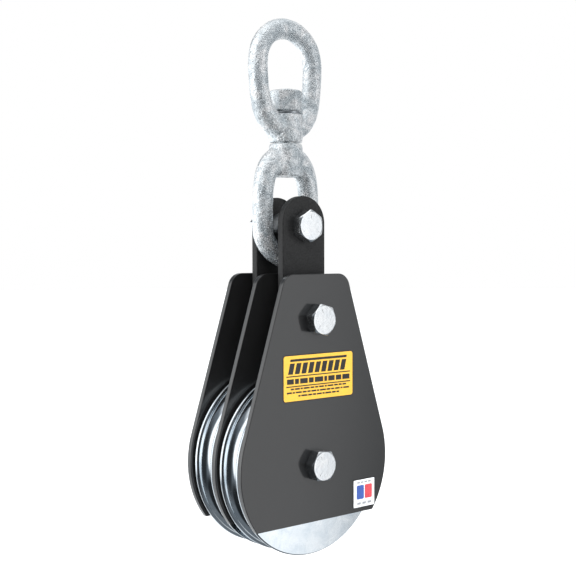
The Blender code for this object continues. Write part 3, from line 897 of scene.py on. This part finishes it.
cx = (ylo.x + yhi.x) / 2 / MM
cz = (ylo.z + yhi.z) / 2 / MM - AXLE_Z
W, H = (yhi.x - ylo.x) / MM, (yhi.z - ylo.z) / MM
# top: a row of plain slanted bars; below: two rules and rows of plain dashes
bars = []
n_bar = 9
for i in range(n_bar):
    x0 = cx - W / 2 + 5.2 + i * (W - 13.2) / n_bar
    bars.append(quad(x0, cz + 3.4, x0 + (W - 13.2) / n_bar * 0.72, cz + 12.2, 2.2))
bars.append(quad(cx - W / 2 + 7.4, cz + 13.6, cx + W / 2 - 7.6, cz + 15.6, 0.5))
rules = [quad(cx - W / 2 + 3.5, cz + 1.2, cx + W / 2 - 3.5, cz + 2.1),
         quad(cx - W / 2 + 3.5, cz - 7.0, cx + W / 2 - 3.5, cz - 6.1)]
mid = []
widths = [7, 4, 8, 5, 9, 3, 7, 6, 8]
x = cx - W / 2 + 4.2
for wd in widths:
    wd *= (W - 8.4 - 1.3 * (len(widths) - 1)) / sum(widths)
    mid.append(quad(x, cz - 4.6, x + wd, cz - 0.4))
    x += wd + 1.3
small = []
for row, (inset, zz) in enumerate(((8.0, -9.3), (4.0, -12.2), (16.0, -15.1))):
    x = cx - W / 2 + inset
    end = cx + W / 2 - inset
    k = row
    while x < end - 1.5:
        wd = (3.4, 5.2, 2.2, 6.4, 4.1)[k % 5]
        x1 = min(x + wd, end)
        small.append(quad(x, cz + zz, x1, cz + zz + 1.35))
        x = x1 + 0.9
        k += 1
label("yellow_label", "plain_yellow_label", ylo, yhi, YELLOW, 3.0,
      [([b_], INK) for b_ in bars + rules + mid + small])

cx = (wlo.x + whi.x) / 2 / MM
cz = (wlo.z + whi.z) / 2 / MM - AXLE_Z
W, H = (whi.x - wlo.x) / MM, (whi.z - wlo.z) / MM
prints = [([rounded(cx - 4.4, cz + 1.0, 8.4, 12.0, 1.2)], BLUE),
          ([rounded(cx + 5.0, cz + 1.0, 8.4, 12.0, 1.2)], RED)]
prints += [([quad(cx - 8 + i * 4.2, cz + 8.6, cx - 8 + i * 4.2 + 3.2, cz + 10.0)], GREY) for i in range(4)]
prints += [([quad(cx - 8 + i * 6.0, cz - 9.6, cx - 8 + i * 6.0 + 4.2, cz - 7.6)], GREY) for i in range(3)]
label("white_label", "plain_white_label", wlo, whi, WHITE, 1.5, prints)

# ------------------------------------------------------------------- stage
floor_z = CAD_BOX[0][2] - 0.30
bm = bmesh.new()
bmesh.ops.create_circle(bm, cap_ends=True, segments=96, radius=14.0,
                        matrix=Matrix.Translation((0, 0, floor_z)))
me = bpy.data.meshes.new("floor")
bm.to_mesh(me)
bm.free()
floor = link_object("floor", me)
fm = Mat("pale_floor").set(metal=0.0)
fm.colour(fm.ramp(fm.noise(3.0, 2, 0.5), (0.3, (0.93, 0.93, 0.93)), (0.7, (0.96, 0.96, 0.96))))
fm.b.inputs["Roughness"].default_value = 0.9
fm.b.inputs["Emission Color"].default_value = (1, 1, 1, 1)
fm.b.inputs["Emission Strength"].default_value = 0.55
floor.visible_glossy = False
me.materials.append(fm.m)

# world: white to the camera, a soft studio with darker sides to reflections
world = bpy.data.worlds.new("studio")
scene.world = world
world.use_nodes = True
nt = world.node_tree
nt.nodes.clear()
out = nt.nodes.new("ShaderNodeOutputWorld")
bg_cam = nt.nodes.new("ShaderNodeBackground")
bg_cam.inputs[0].default_value = (1, 1, 1, 1)
bg_cam.inputs[1].default_value = 1.0
bg_env = nt.nodes.new("ShaderNodeBackground")
bg_env.inputs[1].default_value = 1.0
lp = nt.nodes.new("ShaderNodeLightPath")
mixs = nt.nodes.new("ShaderNodeMixShader")
nt.links.new(lp.outputs["Is Camera Ray"], mixs.inputs[0])
nt.links.new(bg_env.outputs[0], mixs.inputs[1])
nt.links.new(bg_cam.outputs[0], mixs.inputs[2])
nt.links.new(mixs.outputs[0], out.inputs[0])
tc = nt.nodes.new("ShaderNodeTexCoord")
sep = nt.nodes.new("ShaderNodeSeparateXYZ")
nt.links.new(tc.outputs["Generated"], sep.inputs[0])
bg_env.inputs[0].default_value = (0.16, 0.18, 0.21, 1)
total = None


def lobe(az, el, inner, outer, level, tint=(1.0, 1.0, 1.0), tall=1.0, mode="ADD"):
    """Soft light (or, multiplied, a dark patch) in the surroundings, angles
    in degrees; tall stretches it up and down."""
    global total
    a_, e_ = math.radians(az), math.radians(el)
    squash = nt.nodes.new("ShaderNodeVectorMath")
    squash.operation = "MULTIPLY"
    squash.inputs[1].default_value = (1.0, 1.0, 1.0 / tall)
    nt.links.new(tc.outputs["Generated"], squash.inputs[0])
    unit = nt.nodes.new("ShaderNodeVectorMath")
    unit.operation = "NORMALIZE"
    nt.links.new(squash.outputs[0], unit.inputs[0])
    dot = nt.nodes.new("ShaderNodeVectorMath")
    dot.operation = "DOT_PRODUCT"
    nt.links.new(unit.outputs[0], dot.inputs[0])
    dot.inputs[1].default_value = (math.cos(a_) * math.cos(e_), math.sin(a_) * math.cos(e_), math.sin(e_))
    mr = nt.nodes.new("ShaderNodeMapRange")
    mr.interpolation_type = "SMOOTHSTEP"
    mr.inputs["From Min"].default_value = math.cos(math.radians(outer))
    mr.inputs["From Max"].default_value = math.cos(math.radians(inner))
    nt.links.new(dot.outputs["Value"], mr.inputs["Value"])
    mx = nt.nodes.new("ShaderNodeMix")
    mx.data_type = "RGBA"
    mx.blend_type = mode
    mx.clamp_result = False
    nt.links.new(mr.outputs["Result"], mx.inputs[0])
    if total is None:
        mx.inputs[6].default_value = (0.17, 0.19, 0.21, 1)
    else:
        nt.links.new(total, mx.inputs[6])
    mx.inputs[7].default_value = (level * tint[0], level * tint[1], level * tint[2], 1)
    total = mx.outputs[2]


lobe(160, 16, 30, 42, 1.40)                                  # left, behind
lobe(0, 90, 25, 50, 1.15)                                    # above
lobe(35, 5, 28, 50, 0.58)                                    # right, behind
lobe(105, -24, 34, 50, 1.10, (0.95, 0.98, 1.0))              # low, behind
lobe(232, -6, 16, 40, 0.18, mode="MULTIPLY")                 # dark room in front, left
lobe(190, -58, 24, 38, 0.12, mode="MULTIPLY")                # dark below, left
lobe(298, 0, 12.0, 18.5, 1.22, tall=2.6)                      # tall light, front right
nt.links.new(total, bg_env.inputs[0])


def area(name, loc, target, size, power, colour=(1, 1, 1), size_y=None):
    ld = bpy.data.lights.new(name, "AREA")
    ld.energy = power
    ld.color = colour
    ld.shape = "RECTANGLE"
    ld.size = size
    ld.size_y = size_y or size
    ob_ = bpy.data.objects.new(name, ld)
    scene.collection.objects.link(ob_)
    ob_.location = loc
    ob_.rotation_euler = (Vector(target) - Vector(loc)).to_track_quat("-Z", "Y").to_euler()
    ob_.visible_camera = False
    return ob_


C = Vector((0, 0, -0.22))
for args in (("key_front_left", (-0.9, -1.8, 0.8), C, 1.2, 30),
             ("fill_front_right", (1.1, -1.6, 0.0), C, 1.2, 12)):
    area(*args).visible_glossy = False             # soft light only, no mirror image

# ------------------------------------------------------------------ camera
cam = bpy.data.cameras.new("camera")
cam_ob = bpy.data.objects.new("camera", cam)
scene.collection.objects.link(cam_ob)
cam.sensor_fit = "HORIZONTAL"
cam.sensor_width = 36.0
cam.lens = 64.5617
right = Vector((0.7774323, -0.6289614, -0.0025315))
up = Vector((0.0247237, 0.0265377, 0.9993420))
back = Vector((-0.6284804, -0.7769835, 0.0361815))
rot = Matrix((right, up, back)).transposed()
cam_ob.location = Vector((-550.231, -679.791 + YC, 176.153 + AXLE_Z)) * MM
cam_ob.rotation_mode = "QUATERNION"
cam_ob.rotation_quaternion = rot.to_quaternion()
cam.clip_start, cam.clip_end = 0.01, 60.0
scene.camera = cam_ob
